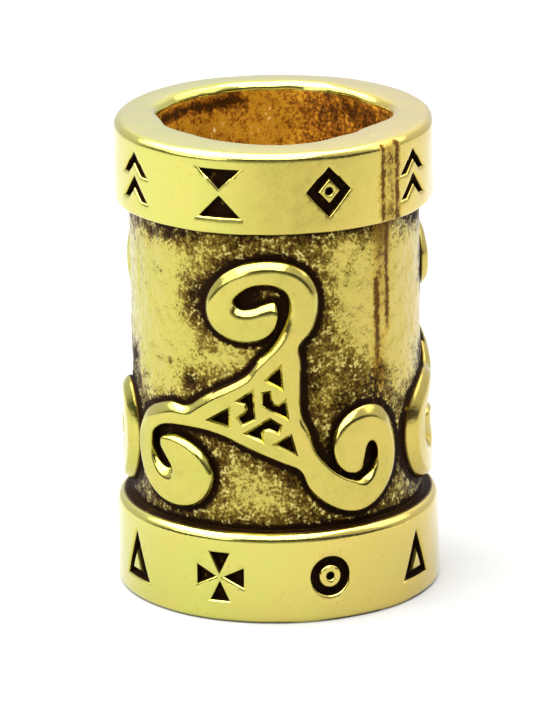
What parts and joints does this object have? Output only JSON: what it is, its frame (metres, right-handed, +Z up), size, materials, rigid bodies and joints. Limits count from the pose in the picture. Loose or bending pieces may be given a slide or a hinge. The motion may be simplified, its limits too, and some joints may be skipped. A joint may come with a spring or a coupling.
{
  "type": "hair cuff bead",
  "caption": "Short cast metal tube bead for hair or beard: a thin sleeve with raised triskeles between two marked collars.",
  "frame": {"origin": "centre of the lower collar's flat end, where the bead stands", "axes": "+Z up along the bore, -Y towards the first triskele and the picture's viewer"},
  "size_m": [0.0122, 0.0122, 0.0182],
  "materials": {
    "antique_gold": "gold-plated casting, bright on the collars and relief, with a dark brown patina in the recesses"
  },
  "bodies": {
    "root": {"bead": "antique_gold"}
  },
  "joints": []
}
